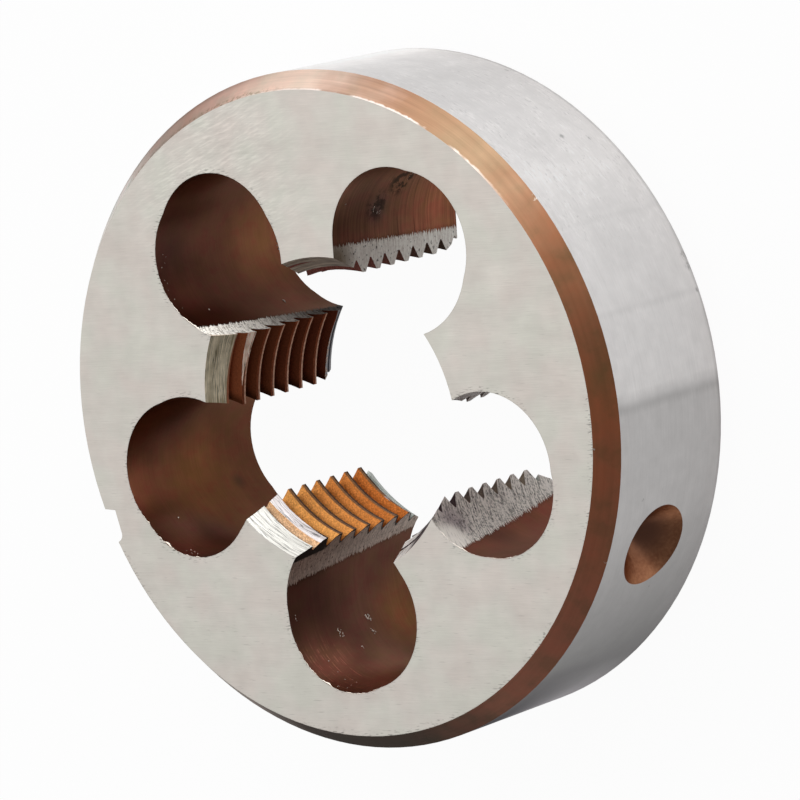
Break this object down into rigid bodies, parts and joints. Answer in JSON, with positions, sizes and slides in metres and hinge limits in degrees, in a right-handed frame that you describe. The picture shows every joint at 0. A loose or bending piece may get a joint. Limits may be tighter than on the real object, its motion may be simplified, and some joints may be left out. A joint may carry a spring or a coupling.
{
  "type": "round threading die",
  "caption": "Round die for cutting an outside thread: a disc with threaded lands between chip holes, a lead-in at each face, a notched rim and conical screw seats.",
  "frame": {"origin": "centre of the back face, on the thread axis", "axes": "+Z along the thread axis, out of the front face that starts the cut; -Y runs through the middle of the chip hole beside the notch"},
  "size_m": [0.045, 0.045, 0.014],
  "materials": {
    "tool_steel": "ground bright on the faces and rim, brown heat-treatment scale in the holes and on the chamfers"
  },
  "bodies": {
    "root": {"die": "tool_steel"}
  },
  "joints": []
}
